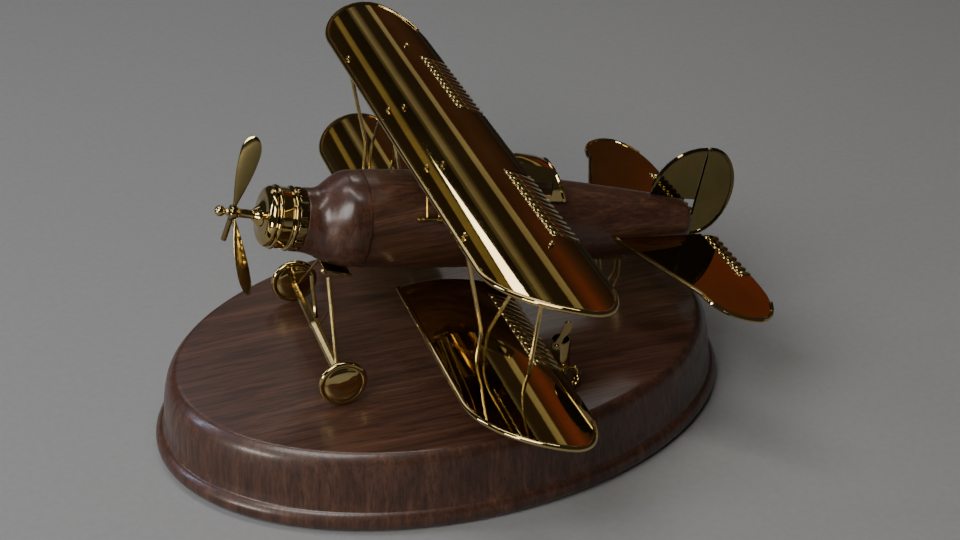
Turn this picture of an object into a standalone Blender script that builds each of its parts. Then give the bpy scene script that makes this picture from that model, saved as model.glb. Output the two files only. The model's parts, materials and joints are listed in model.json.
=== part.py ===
"""Biplane display model: brass airframe on a carved walnut fuselage, standing on an oval walnut base.

Millimetres are used throughout and scaled to metres when a mesh is made. World axes: -X is the nose,
-Y is the left (port) wing, +Z is up. The aircraft sits on its wheels, tail down.
"""
import math

import bmesh
import bpy
from mathutils import Vector

MM = 0.001
CLEAR = 0.3                      # running and assembly clearance between pieces

# Base
BASE_HALF_LENGTH = 160.4
BASE_HALF_WIDTH = 109.8
BASE_HEIGHT = 44.3
BASE_CENTRE = (0.5, -4.3)
BASE_TURN = math.radians(1.9)
FELT_THICKNESS = 1.2

# Airframe axis: passes AXIS_HEIGHT above the floor at x = 0 and rises towards the nose
AXIS_HEIGHT = 113.2
AIRFRAME_PITCH = math.radians(11.5)
THRUST_PITCH = math.radians(17.8)
COWL_PLANE = (-76.4, 0.0, 127.9)  # centre of the cowling's rear edge
COWL_RADIUS = 16.0

# Wings
HALF_SPAN = 176.3
CHORD = 63.3
WING_PITCH = math.radians(9.0)
UPPER_MID = (8.1, 0.0, 159.0)
LOWER_MID = (0.7, 0.0, 86.2)
SHEET = 1.0                      # thickness of wing and tail sheet
RIM_RADIUS = 1.5
CAMBER = 2.85                    # height of the arched section's crown over the chord line
CAMBER_PEAK = -3.85              # chordwise place of the crown
CAMBER_FALL = 0.0059             # fall per square millimetre away from the crown
TIP_CENTRE = 8.15                # chordwise place of the widest point of the tip
FRONT_TIP_START = 128.0
REAR_TIP_START = 135.0
TIP_POWER = 1.8                  # exponent of the tip's leading curve
HINGE_CHORD = 16.15              # chordwise place of the aileron hinge
FLAP_DROOP = math.radians(18.0)  # slope of the wing's rear part to its chord line
BAY_INNER = 35.2
BAY_OUTER = 104.4
BEAD_PITCH = 5.57
AILERON_BEADS = 12
ELEVATOR_BEADS = 8

# Undercarriage
AXLE = (-68.2, 0.0, 57.6)
WHEEL_RADIUS = 13.0
WHEEL_TRACK = 102.0
TAIL_WHEEL = (98.6, 0.0, 47.9)
TAIL_WHEEL_RADIUS = 3.3

# Tail
HINGE_A = 151.0                  # rudder hinge, measured aft along the airframe axis
TAIL_PLANE_B = -1.5
ELEVATOR_HINGE_A = 153.3

BRASS = {"color": (0.36, 0.25, 0.06, 1.0), "metallic": 1.0, "roughness": 0.12}
DARK_BRASS = {"color": (0.22, 0.16, 0.05, 1.0), "metallic": 1.0, "roughness": 0.2}
WALNUT = {"color": (0.10, 0.055, 0.035, 1.0), "metallic": 0.0, "roughness": 0.35}
FELT = {"color": (0.03, 0.05, 0.03, 1.0), "metallic": 0.0, "roughness": 0.95}


# ---------------------------------------------------------------- scene and mesh helpers

def clear_scene():
    for obj in list(bpy.data.objects):
        bpy.data.objects.remove(obj, do_unlink=True)


def paint(obj, finish):
    material = bpy.data.materials.new(obj.name + "_finish")
    material.use_nodes = True
    shader = material.node_tree.nodes["Principled BSDF"]
    shader.inputs["Base Color"].default_value = finish["color"]
    shader.inputs["Metallic"].default_value = finish["metallic"]
    shader.inputs["Roughness"].default_value = finish["roughness"]
    obj.data.materials.clear()
    obj.data.materials.append(material)


def empty(name, location, rotation=(0.0, 0.0, 0.0), parent=None):
    obj = bpy.data.objects.new(name, None)
    bpy.context.scene.collection.objects.link(obj)
    obj.location = [c * MM for c in location]
    obj.rotation_euler = rotation
    obj.parent = parent
    return obj


def solid(name, verts, faces, finish, parent=None, location=(0.0, 0.0, 0.0), rotation=(0.0, 0.0, 0.0)):
    """One closed mesh from millimetre coordinates, outward faces, smooth except at sharp edges."""
    mesh = bpy.data.meshes.new(name)
    mesh.from_pydata([[c * MM for c in v] for v in verts], [], faces)
    work = bmesh.new()
    work.from_mesh(mesh)
    bmesh.ops.remove_doubles(work, verts=work.verts, dist=1e-7)
    bmesh.ops.recalc_face_normals(work, faces=work.faces)
    work.to_mesh(mesh)
    work.free()
    mesh.shade_smooth()
    mesh.set_sharp_from_angle(angle=math.radians(35))
    obj = bpy.data.objects.new(name, mesh)
    bpy.context.scene.collection.objects.link(obj)
    obj.location = [c * MM for c in location]
    obj.rotation_euler = rotation
    obj.parent = parent
    paint(obj, finish)
    return obj


def combine(obj, other, operation):
    """Boolean of obj with other; both are in the same parent's space, and other is consumed."""
    bpy.context.view_layer.update()
    modifier = obj.modifiers.new(operation.lower(), "BOOLEAN")
    modifier.operation = operation
    modifier.solver = "EXACT"
    modifier.object = other
    bpy.context.view_layer.update()
    shaped = obj.evaluated_get(bpy.context.evaluated_depsgraph_get())
    mesh = bpy.data.meshes.new_from_object(shaped)
    obj.modifiers.clear()
    old = obj.data
    obj.data = mesh
    obj.data.name = obj.name
    bpy.data.meshes.remove(old)
    finish = obj.data.materials[0]
    obj.data.materials.clear()
    obj.data.materials.append(finish)
    obj.data.polygons.foreach_set("material_index", [0] * len(obj.data.polygons))
    bpy.data.objects.remove(other, do_unlink=True)
    return obj


def box_shape(low, high):
    verts = [(x, y, z) for x in (low[0], high[0]) for y in (low[1], high[1]) for z in (low[2], high[2])]
    faces = [(0, 1, 3, 2), (4, 6, 7, 5), (0, 4, 5, 1), (2, 3, 7, 6), (0, 2, 6, 4), (1, 5, 7, 3)]
    return verts, faces


def loft_shape(rings):
    """Closed skin through equal rings, with a flat cap on each end."""
    count = len(rings[0])
    verts = [point for ring in rings for point in ring]
    faces = []
    for level in range(len(rings) - 1):
        for i in range(count):
            j = (i + 1) % count
            low = level * count
            faces.append((low + i, low + j, low + count + j, low + count + i))
    faces.append(tuple(range(count)))
    last = (len(rings) - 1) * count
    faces.append(tuple(last + i for i in range(count)))
    return verts, faces


def turned_shape(profile, sides):
    """Profile of (radius, z) spun about z. A zero radius is a pole; otherwise the profile closes on itself."""
    rings = []
    verts = []
    for radius, z in profile:
        if radius < 1e-6:
            rings.append([len(verts)])
            verts.append((0.0, 0.0, z))
            continue
        rings.append([len(verts) + i for i in range(sides)])
        for i in range(sides):
            angle = 2.0 * math.pi * i / sides
            verts.append((radius * math.cos(angle), radius * math.sin(angle), z))
    pairs = list(zip(rings, rings[1:]))
    if len(rings[0]) > 1:
        pairs.append((rings[-1], rings[0]))
    faces = []
    for first, second in pairs:
        for i in range(sides):
            j = (i + 1) % sides
            corners = [first[i % len(first)], first[j % len(first)],
                       second[j % len(second)], second[i % len(second)]]
            faces.append(tuple(dict.fromkeys(corners)))
    return verts, faces


def arc(centre, radius, start, end, steps):
    """Points on an arc in profile space, angles in degrees."""
    points = []
    for k in range(steps + 1):
        angle = math.radians(start + (end - start) * k / steps)
        points.append((centre[0] + radius * math.cos(angle), centre[1] + radius * math.sin(angle)))
    return points


def tube_shape(path, radii, sides=8):
    """Round bar along a path of points, with a radius at each point."""
    points = [Vector(p) for p in path]
    normal = None
    rings = []
    for k, point in enumerate(points):
        ahead = points[min(k + 1, len(points) - 1)]
        behind = points[max(k - 1, 0)]
        tangent = (ahead - behind).normalized()
        if normal is None:
            helper = Vector((0, 0, 1)) if abs(tangent.z) < 0.9 else Vector((1, 0, 0))
            normal = helper.cross(tangent).normalized()
        normal = (normal - tangent * normal.dot(tangent)).normalized()
        binormal = tangent.cross(normal)
        ring = []
        for i in range(sides):
            angle = 2.0 * math.pi * i / sides
            ring.append(point + (normal * math.cos(angle) + binormal * math.sin(angle)) * radii[k])
        rings.append(ring)
    return loft_shape(rings)


def bar_shape(path, radius, sides=8):
    return tube_shape(path, [radius] * len(path), sides)


def beaded_shape(start, end, places, rod_radius, bead_radius, sides=6):
    """Straight rod with a round bead at each of the given distances from its start."""
    start = Vector(start)
    direction = (Vector(end) - start).normalized()
    stations = [(0.0, rod_radius)]
    for place in places:
        stations += [(place - 0.9 * bead_radius, rod_radius), (place - 0.4 * bead_radius, bead_radius),
                     (place + 0.4 * bead_radius, bead_radius), (place + 0.9 * bead_radius, rod_radius)]
    stations.append(((Vector(end) - start).length, rod_radius))
    path = [start + direction * s for s, _ in stations]
    return tube_shape(path, [r for _, r in stations], sides)


def sheet_shape(outline, height, thickness):
    """Flat or cambered plate over a closed outline of (u, y); height(u, y) gives its middle surface."""
    top = [(u, y, height(u, y) + thickness / 2) for u, y in outline]
    bottom = [(u, y, height(u, y) - thickness / 2) for u, y in outline]
    return loft_shape([bottom, top])


def superellipse(angle, power):
    cos, sin = math.cos(angle), math.sin(angle)
    return (math.copysign(abs(cos) ** (2 / power), cos), math.copysign(abs(sin) ** (2 / power), sin))


def oval_ring(scale, height, sides=52):
    ring = []
    for i in range(sides):
        angle = 2 * math.pi * i / sides
        x, y = BASE_HALF_LENGTH * scale * math.cos(angle), BASE_HALF_WIDTH * scale * math.sin(angle)
        ring.append((BASE_CENTRE[0] + x * math.cos(BASE_TURN) - y * math.sin(BASE_TURN),
                     BASE_CENTRE[1] + x * math.sin(BASE_TURN) + y * math.cos(BASE_TURN), height))
    return ring


def make_base():
    """Oval moulded plinth: (height, outline scale) rows from the foot to the top edge."""
    profile = [(FELT_THICKNESS + CLEAR, 0.90), (0.0, 0.90), (0.0, 0.975), (2.0, 0.992), (6.0, 1.0), (10.0, 0.991),
               (11.8, 0.980), (14.4, 0.970), (17.0, 0.966), (24.0, 0.963), (32.0, 0.956), (38.0, 0.946),
               (42.0, 0.930), (44.3, 0.908)]
    solid("base_board", *loft_shape([oval_ring(scale, height) for height, scale in profile]), WALNUT)
    pad = [oval_ring(0.894, height) for height in (0.0, FELT_THICKNESS)]
    solid("base_felt", *loft_shape(pad), FELT)


# ---------------------------------------------------------------- fuselage and nose

# a, centre b, half width, half height, section power, lean of the section
NOSE_SECTIONS = [
    (-75.5, -1.1, 16.5, 16.5, 2.0, 0.11),
    (-73.0, -1.3, 16.7, 16.7, 2.0, 0.11),
    (-70.5, -1.6, 17.0, 17.0, 2.0, 0.11),
    (-68.5, -1.7, 17.5, 17.5, 2.0, 0.11),
    (-66.5, -1.6, 18.3, 18.3, 2.0, 0.11),
    (-64.0, -1.3, 19.9, 19.9, 2.0, 0.10),
    (-61.0, -0.9, 21.8, 21.8, 2.0, 0.08),
    (-58.0, -0.5, 23.2, 23.3, 2.0, 0.06),
    (-54.0, -0.1, 24.1, 24.4, 2.1, 0.03),
    (-49.0, 0.0, 24.5, 24.8, 2.15, 0.0),
    (-45.0, 0.0, 24.5, 24.8, 2.2, 0.0),
    (-44.0, 0.0, 24.0, 24.6, 2.2, 0.0),
]
BODY_SECTIONS = [
    (-43.7, 0.0, 22.6, 24.5, 2.4, 0.0),
    (-42.5, 0.0, 23.1, 24.8, 2.4, 0.0),
    (-20.0, 0.0, 22.9, 24.8, 2.5, 0.0),
    (10.0, -0.3, 22.4, 24.6, 2.5, 0.0),
    (40.0, -0.6, 21.4, 23.9, 2.5, 0.0),
    (70.0, -1.0, 19.6, 22.3, 2.4, 0.0),
    (95.0, -1.2, 17.6, 20.0, 2.3, 0.0),
    (118.0, -1.0, 15.5, 17.0, 2.3, 0.0),
    (134.0, -0.7, 13.6, 14.4, 2.3, 0.0),
    (141.5, -0.6, 12.5, 13.2, 2.3, 0.0),
    (145.0, -0.5, 11.2, 11.9, 2.2, 0.0),
    (147.0, -0.4, 8.9, 9.4, 2.1, 0.0),
    (147.7, -0.4, 6.2, 6.6, 2.0, 0.0),
]


def carved_block(name, sections, parent):
    sides = 28
    rings = []
    for a, centre, half_width, half_height, power, lean in sections:
        ring = []
        for i in range(sides):
            y, b = superellipse(2 * math.pi * i / sides, power)
            rise = b * half_height
            ring.append((a + lean * rise, y * half_width, centre + rise))
        rings.append(ring)
    return solid(name, *loft_shape(rings), WALNUT, parent)


def make_fuselage(airframe):
    carved_block("nose_block", NOSE_SECTIONS, airframe)
    carved_block("fuselage_body", BODY_SECTIONS, airframe)


def make_cowling(nose):
    """Turned engine cowling. Along the thrust line, z = 0 is the cowling's rear edge and +z is ahead."""
    lugs = []
    for z in (-1.9, 2.6):
        ring = []
        for i in range(48):
            angle = 2 * math.pi * i / 48
            radius = 16.6 if i % 4 < 2 else 15.6
            ring.append((radius * math.cos(angle), radius * math.sin(angle), z))
        lugs.append(ring)
    solid("exhaust_collar", *loft_shape(lugs), DARK_BRASS, nose)
    drum = [(0.0, 2.9), (15.4, 2.9), (16.7, 3.3), (16.9, 4.5), (16.2, 5.1), (15.3, 5.3), (15.3, 5.9),
            (COWL_RADIUS, 6.2), (COWL_RADIUS, 11.3), (16.6, 11.7), (16.6, 12.9), (15.8, 13.5), (0.0, 13.5)]
    solid("cowl_drum", *turned_shape(drum, 28), BRASS, nose)
    dome = [(1.4, 13.9), (15.3, 13.9), (15.7, 14.8), (15.2, 16.2), (13.6, 17.6), (11.6, 18.2), (9.6, 18.4),
            (7.2, 19.0), (5.2, 20.2), (4.0, 21.6), (3.4, 22.4), (1.4, 22.4)]
    solid("cowl_dome", *turned_shape(dome, 28), BRASS, nose)
    housing = [(1.4, 22.7), (2.6, 22.7), (2.3, 23.4), (2.3, 30.0), (2.7, 30.4), (2.7, 31.0), (1.4, 31.0)]
    solid("shaft_housing", *turned_shape(housing, 20), BRASS, nose)


HUB_STATION = 33.2
BLADE_LENGTH = 44.3
BLADE_CHORD = 10.4


def blade_shape(length):
    """Twisted blade along +x, with its face towards the thrust line (+z), widest near its round tip."""
    rings = []
    root = 4.2
    for t in (0.0, 0.07, 0.16, 0.28, 0.42, 0.56, 0.70, 0.80, 0.88, 0.94, 0.98, 0.999):
        swell = 2.0 + (BLADE_CHORD - 2.0) * math.sin(math.pi / 2 * min(1.0, t / 0.78)) ** 1.1
        tip = math.sqrt(max(0.0, 1.0 - max(0.0, (t - 0.78) / 0.22) ** 2))
        chord = max(0.8, swell * tip)
        thickness = max(0.4, (1.9 - 1.1 * t) * max(tip, 0.3))
        twist = math.radians(70.0 - 16.0 * t)
        ring = []
        for i in range(12):
            angle = 2 * math.pi * i / 12
            along = chord / 2 * math.cos(angle)
            across = thickness / 2 * math.sin(angle)
            y = along * math.cos(twist) - across * math.sin(twist)
            z = along * math.sin(twist) + across * math.cos(twist)
            ring.append((root + t * (length - root), y, z))
        rings.append(ring)
    return loft_shape(rings)


def make_propeller(nose):
    axis = empty("propeller_axis", (0, 0, HUB_STATION), parent=nose)
    shaft = [(0.0, -19.3), (1.0, -19.3), (1.0, -1.9), (3.0, -1.9), (3.8, -1.2), (3.8, 1.2), (3.0, 2.0), (0.0, 2.0)]
    solid("propeller_hub", *turned_shape(shaft, 20), BRASS, axis)
    nut = [(0.0, 2.4), (1.7, 2.4), (2.1, 3.0), (1.4, 3.6), (1.4, 4.2)] + arc((0.0, 6.7), 2.8, -60, 90, 6)[:-1]
    nut.append((0.0, 9.5))
    solid("spinner_nut", *turned_shape(nut, 16), BRASS, axis)
    for name, turn, cone in (("propeller_blade_a", -3.0, 1.0), ("propeller_blade_b", -129.8, 8.8)):
        blade = solid(name, *blade_shape(BLADE_LENGTH), BRASS, axis)
        blade.rotation_euler = (0.0, math.radians(cone), math.radians(turn))
    stub = solid("propeller_stub", *bar_shape([(4.2, 0, 0), (17.7, 0, 0)], 1.5, 12), DARK_BRASS, axis)
    stub.rotation_euler = (0.0, 0.0, math.radians(170.0))


# ---------------------------------------------------------------- wings

def camber(u, _y=0.0):
    return CAMBER - CAMBER_FALL * (u - CAMBER_PEAK) ** 2


def chord_place(middle, x):
    """Chordwise place on a wing's middle surface that lies at world x."""
    u = x - middle[0]
    for _ in range(6):
        u = (x - middle[0] - camber(u) * math.sin(WING_PITCH)) / math.cos(WING_PITCH)
    return u


def wing_height(middle, x):
    """World height of a wing's middle surface at world x."""
    u = chord_place(middle, x)
    return middle[2] - u * math.sin(WING_PITCH) + camber(u) * math.cos(WING_PITCH)


def tip_curve(inset, rear_end):
    """Right-hand tip from the leading edge round to the trailing edge, as (u, y) points."""
    lead = -CHORD / 2 + inset
    trail = CHORD / 2 - inset
    reach = HALF_SPAN - inset
    points = []
    for k in range(11):
        forward, out = superellipse(math.radians(9 * k), TIP_POWER)
        points.append((TIP_CENTRE - (TIP_CENTRE - lead) * forward,
                       FRONT_TIP_START + (reach - FRONT_TIP_START) * out))
    for k in range(1, 7):
        angle = math.radians(90 - 15 * k)
        if math.degrees(angle) >= rear_end:
            points.append((TIP_CENTRE + (trail - TIP_CENTRE) * math.cos(angle),
                           REAR_TIP_START + (reach - REAR_TIP_START) * math.sin(angle)))
    return points


def wing_skin(inner, outer):
    """Closed cambered skin between two spanwise stations, lofted through chordwise sections."""
    inset = RIM_RADIUS
    lead, trail = -CHORD / 2 + inset, CHORD / 2
    reach = HALF_SPAN - inset

    def edges(y):
        span = abs(y)
        front, rear = lead, trail
        if span > FRONT_TIP_START:
            ratio = (span - FRONT_TIP_START) / (reach - FRONT_TIP_START)
            front = TIP_CENTRE - (TIP_CENTRE - lead) * max(0.0, 1 - ratio ** TIP_POWER) ** (1 / TIP_POWER)
        if span > REAR_TIP_START:
            ratio = (span - REAR_TIP_START) / (reach - REAR_TIP_START)
            rear = TIP_CENTRE + (trail - TIP_CENTRE) * math.sqrt(max(0.0, 1 - ratio ** 2))
        return front, rear

    stations = {inner, outer}
    for span in (128, 135, 142, 150, 157, 163, 168, 171.5, 173.8):
        stations.update(y for y in (span, -span) if inner < y < outer)
    rings = []
    steps = 10
    for y in sorted(stations):
        front, rear = edges(y)
        places = [front + (rear - front) * k / steps for k in range(steps + 1)]
        upper = [(u, y, camber(u) + SHEET / 2) for u in places]
        lower = [(u, y, camber(u) - SHEET / 2) for u in reversed(places)]
        rings.append(upper + lower)
    return loft_shape(rings)


def rim_path(tip, low, high):
    """Rolled edge from one tip round the leading edge to the other, clipped to low <= y <= high."""
    right = list(reversed(tip))
    path = right + [(u, -y) for u, y in tip]
    points = [(u, y, camber(u)) for u, y in path if low - 3 <= y <= high + 3]
    if low > -HALF_SPAN / 2:
        points.append((-CHORD / 2 + RIM_RADIUS, low, camber(-CHORD / 2 + RIM_RADIUS)))
    if high < HALF_SPAN / 2:
        points.insert(0, (-CHORD / 2 + RIM_RADIUS, high, camber(-CHORD / 2 + RIM_RADIUS)))
    return points


def make_wing(name, middle, inner, outer, holes):
    """One wing panel with its rolled edge, aileron bays and pin holes."""
    frame = empty(name + "_frame", middle, (0.0, WING_PITCH, 0.0))
    wing = solid(name, *wing_skin(inner, outer), BRASS, frame)
    path = rim_path(tip_curve(RIM_RADIUS, 20.0), inner, outer)
    rim = solid("rim", *bar_shape(path, RIM_RADIUS, 7), BRASS, frame)
    combine(wing, rim, "UNION")
    for side in (-1, 1):
        low, high = sorted((side * BAY_INNER, side * BAY_OUTER))
        if low >= inner and high <= outer:
            bay = solid("bay", *box_shape((HINGE_CHORD - 1.5, low, -9), (CHORD, high, 9)), BRASS, frame)
            combine(wing, bay, "DIFFERENCE")
    for x, y in holes:
        u = chord_place(middle, x)
        drill = solid("drill", *bar_shape([(u, y, -9), (u, y, 9)], 0.9, 8), BRASS, frame)
        combine(wing, drill, "DIFFERENCE")
    wing.data.shade_smooth()
    wing.data.set_sharp_from_angle(angle=math.radians(35))
    return frame


def ribbed_flap_shape(length, margin, ribs, chord):
    """Ribbed flap hung on a beaded pivot rod, lofted along +y; the rod's axis is the y axis."""
    stations = [(0.0, 0.65, 0.5)]
    for k in range(ribs):
        start = margin + (k - 0.5) * BEAD_PITCH
        stations.append((start + 0.04 * BEAD_PITCH, 0.65, 0.4))
        stations.append((start + 0.32 * BEAD_PITCH, 1.2, 1.2))
        stations.append((start + 0.68 * BEAD_PITCH, 1.2, 1.2))
    stations.append((margin + (ribs - 0.54) * BEAD_PITCH, 0.65, 0.4))
    stations.append((length, 0.65, 0.5))
    rings = []
    for y, radius, height in stations:
        ring = []
        for k in range(5):
            angle = math.radians(60 + 60 * k)
            ring.append((radius * math.cos(angle), y, radius * math.sin(angle)))
        tail = chord + 0.5 * height
        ring += [(tail, y, -0.45), (tail, y, height * 0.7), (1.6, y, height)]
        rings.append(ring)
    return loft_shape(rings)


def make_control_strip(name, parent, hinge, inner, outer, beads, chord, droop=0.0):
    """Hinged corrugated strip: beaded pivot rod and ribbed flap in one piece, origin on the pivot."""
    length = outer - inner - 2 * CLEAR
    pivot = empty(name + "_pivot", (hinge[0], inner + CLEAR, hinge[1]), (0.0, droop, 0.0), parent)
    margin = (length - (beads - 1) * BEAD_PITCH) / 2
    return solid(name, *ribbed_flap_shape(length, margin, beads, chord), BRASS, pivot)


UPPER_HOLES = [(x, side * y) for side in (-1, 1) for x, y in
               ((-18.7, 100.3), (19.4, 114.2), (-15.6, 33.0), (-7.2, 33.0))]
LOWER_ROOT = 23.4


def make_wings():
    tip = HALF_SPAN - 1.9
    frames = {
        "upper": make_wing("upper_wing", UPPER_MID, -tip, tip, UPPER_HOLES),
        "lower_left": make_wing("lower_wing_left", LOWER_MID, -tip, -LOWER_ROOT, []),
        "lower_right": make_wing("lower_wing_right", LOWER_MID, LOWER_ROOT, tip, []),
    }
    chord = CHORD / 2 - HINGE_CHORD + 0.2
    hinge = (HINGE_CHORD, camber(HINGE_CHORD))
    for level, left, right in (("upper", "upper", "upper"), ("lower", "lower_left", "lower_right")):
        make_control_strip("aileron_" + level + "_left", frames[left], hinge, -BAY_OUTER, -BAY_INNER,
                           AILERON_BEADS, chord, FLAP_DROOP)
        make_control_strip("aileron_" + level + "_right", frames[right], hinge, BAY_INNER, BAY_OUTER,
                           AILERON_BEADS, chord, FLAP_DROOP)


def pinned_strut(name, foot_path, top, radius):
    """Round strut whose neck passes through the upper wing and ends in a domed pin head."""
    x, y = top
    surface = wing_height(UPPER_MID, x)
    path = list(foot_path) + [(x, y, surface - 1.3), (x, y, surface - 1.0), (x, y, surface + 0.95),
                              (x, y, surface + 1.1), (x, y, surface + 1.9), (x, y, surface + 2.5)]
    radii = [radius] * (len(foot_path) + 1) + [0.55, 0.55, 1.2, 1.2, 0.5]
    return solid(name, *tube_shape(path, radii, 8), BRASS)


def make_struts():
    for side, word in ((-1, "left"), (1, "right")):
        seat = wing_height(LOWER_MID, -12.6) + SHEET / 2 + CLEAR
        front = [(-12.6, side * 100.4, seat), (-12.4, side * 100.4, 95.0), (-10.7, side * 100.4, 106.0),
                 (-10.8, side * 100.4, 110.0), (-13.5, side * 100.4, 128.0)]
        pinned_strut("strut_front_" + word, front, (-18.7, side * 100.3), 1.1)
        seat = wing_height(LOWER_MID, 9.2) + SHEET / 2 + CLEAR
        pinned_strut("strut_rear_" + word, [(9.2, side * 113.8, seat)], (19.4, side * 114.2), 1.1)
        seat = wing_height(LOWER_MID, -9.0) + SHEET / 2 + CLEAR
        roof = wing_height(UPPER_MID, 15.2) - SHEET / 2 - CLEAR
        diagonal = [(-9.0, side * 100.4, seat), (-8.9, side * 100.4, 96.0), (-7.7, side * 100.4, 104.0),
                    (-6.3, side * 100.8, 109.5), (14.6, side * 110.5, roof - 2.2), (15.2, side * 110.8, roof - 1.0)]
        solid("strut_diagonal_" + word, *bar_shape(diagonal, 1.0, 8), BRASS)
        foot = [(-12.9, side * 23.4, 130.4), (-13.0, side * 23.8, 131.6)]
        pinned_strut("cabane_front_" + word, foot, (-15.6, side * 33.0), 0.9)
        foot = [(-6.6, side * 23.5, 129.4), (-6.6, side * 23.9, 130.6)]
        pinned_strut("cabane_rear_" + word, foot, (-7.2, side * 33.0), 0.9)
        places = [1.3, 3.9, 11.6, 14.2]
        start = (-18.4, side * 22.9, 129.3)
        end = (-3.2, side * 23.4, 126.2)
        solid("cabane_foot_" + word, *beaded_shape(start, end, places, 0.5, 1.2), BRASS)


# ---------------------------------------------------------------- cockpit

def make_canopy(airframe):
    """Arched cockpit hood with side openings and a rolled rear edge."""
    stations = [(30.0, 36.4, 15.8), (40.0, 37.4, 15.8), (50.0, 36.4, 15.6), (57.0, 34.2, 15.4)]
    sill = 19.4
    steps = 10
    rings = []
    for a, crown, half in stations:
        outer, inner = [], []
        for k in range(steps + 1):
            angle = math.pi * k / steps
            y, b = superellipse(angle, 2.5)
            lean = 6.0 * (1 - b) * (a - 30.0) / 27.0
            outer.append((a + lean, y * half, sill + b * (crown - sill)))
            inner.append((a + lean, y * (half - 1.0), sill + b * (crown - sill - 1.0)))
        rings.append(outer + inner[::-1])
    hood = solid("cockpit_hood", *loft_shape(rings), BRASS, airframe)
    window = solid("window", *box_shape((45.0, -30, 22.5), (55.0, 30, 29.5)), BRASS, airframe)
    combine(hood, window, "DIFFERENCE")
    crown, half = stations[-1][1], stations[-1][2]
    path = []
    for k in range(steps + 1):
        y, b = superellipse(math.pi * k / steps, 2.5)
        path.append((57.0 + 6.0 * (1 - b), y * (half - 0.5), sill + b * (crown - sill - 0.5)))
    rim = solid("rim", *bar_shape(path, 1.2, 8), BRASS, airframe)
    combine(hood, rim, "UNION")
    hood.data.shade_smooth()
    hood.data.set_sharp_from_angle(angle=math.radians(35))


# ---------------------------------------------------------------- tail

def make_fin_and_rudder(airframe):
    centre_b, up, down = 18.4, 26.0, 26.2
    steps = 9

    def upright(verts):
        return [(u, z, y) for u, y, z in verts]

    fin_edge = []
    for k in range(steps + 1):
        angle = math.radians(180 - 90 * k / steps)
        fin_edge.append((HINGE_A - 1.2 + 27.8 * math.cos(angle), 16.2 + 28.0 * math.sin(angle)))
    fin_edge.append((HINGE_A - 1.2, 13.6))
    fin_edge.append((HINGE_A - 9.0, 14.0))
    verts, faces = sheet_shape(fin_edge, lambda u, y: 0.0, SHEET)
    fin = solid("fin", upright(verts), faces, BRASS, airframe)
    rolled = [(u, 0.0, b) for u, b in fin_edge[1:steps + 1]]
    rim = solid("rim", *bar_shape(rolled, 1.25, 8), BRASS, airframe)
    combine(fin, rim, "UNION")
    pivot = empty("rudder_pivot", (HINGE_A, 0, 0), parent=airframe)
    edge = []
    for k in range(2 * steps + 1):
        angle = math.radians(90 - 180 * k / (2 * steps))
        reach = up if angle > 0 else down
        edge.append((0.9 + 19.4 * math.cos(angle), centre_b + reach * math.sin(angle)))
    board = [(0.0, centre_b + up)] + edge + [(0.0, centre_b - down)]
    verts, faces = sheet_shape(board, lambda u, y: 0.0, SHEET)
    rudder = solid("rudder", upright(verts), faces, BRASS, pivot)
    rim = solid("rim", *bar_shape([(u, 0.0, b) for u, b in edge], 1.25, 8), BRASS, pivot)
    combine(rudder, rim, "UNION")
    post = [(0.0, 0.0, centre_b - down + 0.4), (0.0, 0.0, centre_b + up - 0.4)]
    rod = solid("post", *bar_shape(post, 0.75, 8), BRASS, pivot)
    combine(rudder, rod, "UNION")
    for piece in (fin, rudder):
        piece.data.shade_smooth()
        piece.data.set_sharp_from_angle(angle=math.radians(35))


def make_tailplane(airframe):
    """Stabiliser halves either side of the fuselage, each with a corrugated elevator."""
    bay_front = ELEVATOR_HINGE_A - 1.5
    inner, outer = 14.2, 59.6
    tip_a, tip_y = 143.0, 103.0
    for side, word in ((-1, "left"), (1, "right")):
        edge = [(97.2, 18.4), (122.0, 77.0)]
        for k in range(1, 9):
            angle = math.radians(180 - 90 * k / 8)
            lift = math.sin(angle)
            edge.append((tip_a + 21.0 * math.cos(angle), 77.0 + (tip_y - 77.0) * lift))
        for k in range(1, 7):
            angle = math.radians(90 - 15 * k)
            edge.append((tip_a + 17.0 * math.cos(angle), 70.0 + (tip_y - 70.0) * math.sin(angle)))
        rolled = edge[:14]
        outline = edge + [(160.2, outer), (bay_front, 13.2), (140.0, 14.6)]
        flat = [(u, side * y) for u, y in outline]
        verts, faces = sheet_shape(flat, lambda u, y: TAIL_PLANE_B, SHEET)
        half = solid("stabiliser_" + word, verts, faces, BRASS, airframe)
        path = [(u, side * y, TAIL_PLANE_B) for u, y in rolled]
        rim = solid("rim", *bar_shape(path, 1.3, 8), BRASS, airframe)
        combine(half, rim, "UNION")
        low, high = sorted((side * 10.0, side * outer))
        bay = solid("bay", *box_shape((bay_front, low, -9), (170.0, high, 9)), BRASS, airframe)
        combine(half, bay, "DIFFERENCE")
        half.data.shade_smooth()
        half.data.set_sharp_from_angle(angle=math.radians(35))
        low, high = sorted((side * inner, side * outer))
        make_control_strip("elevator_" + word, airframe, (ELEVATOR_HINGE_A, TAIL_PLANE_B), low, high,
                           ELEVATOR_BEADS, 7.0)


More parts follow.
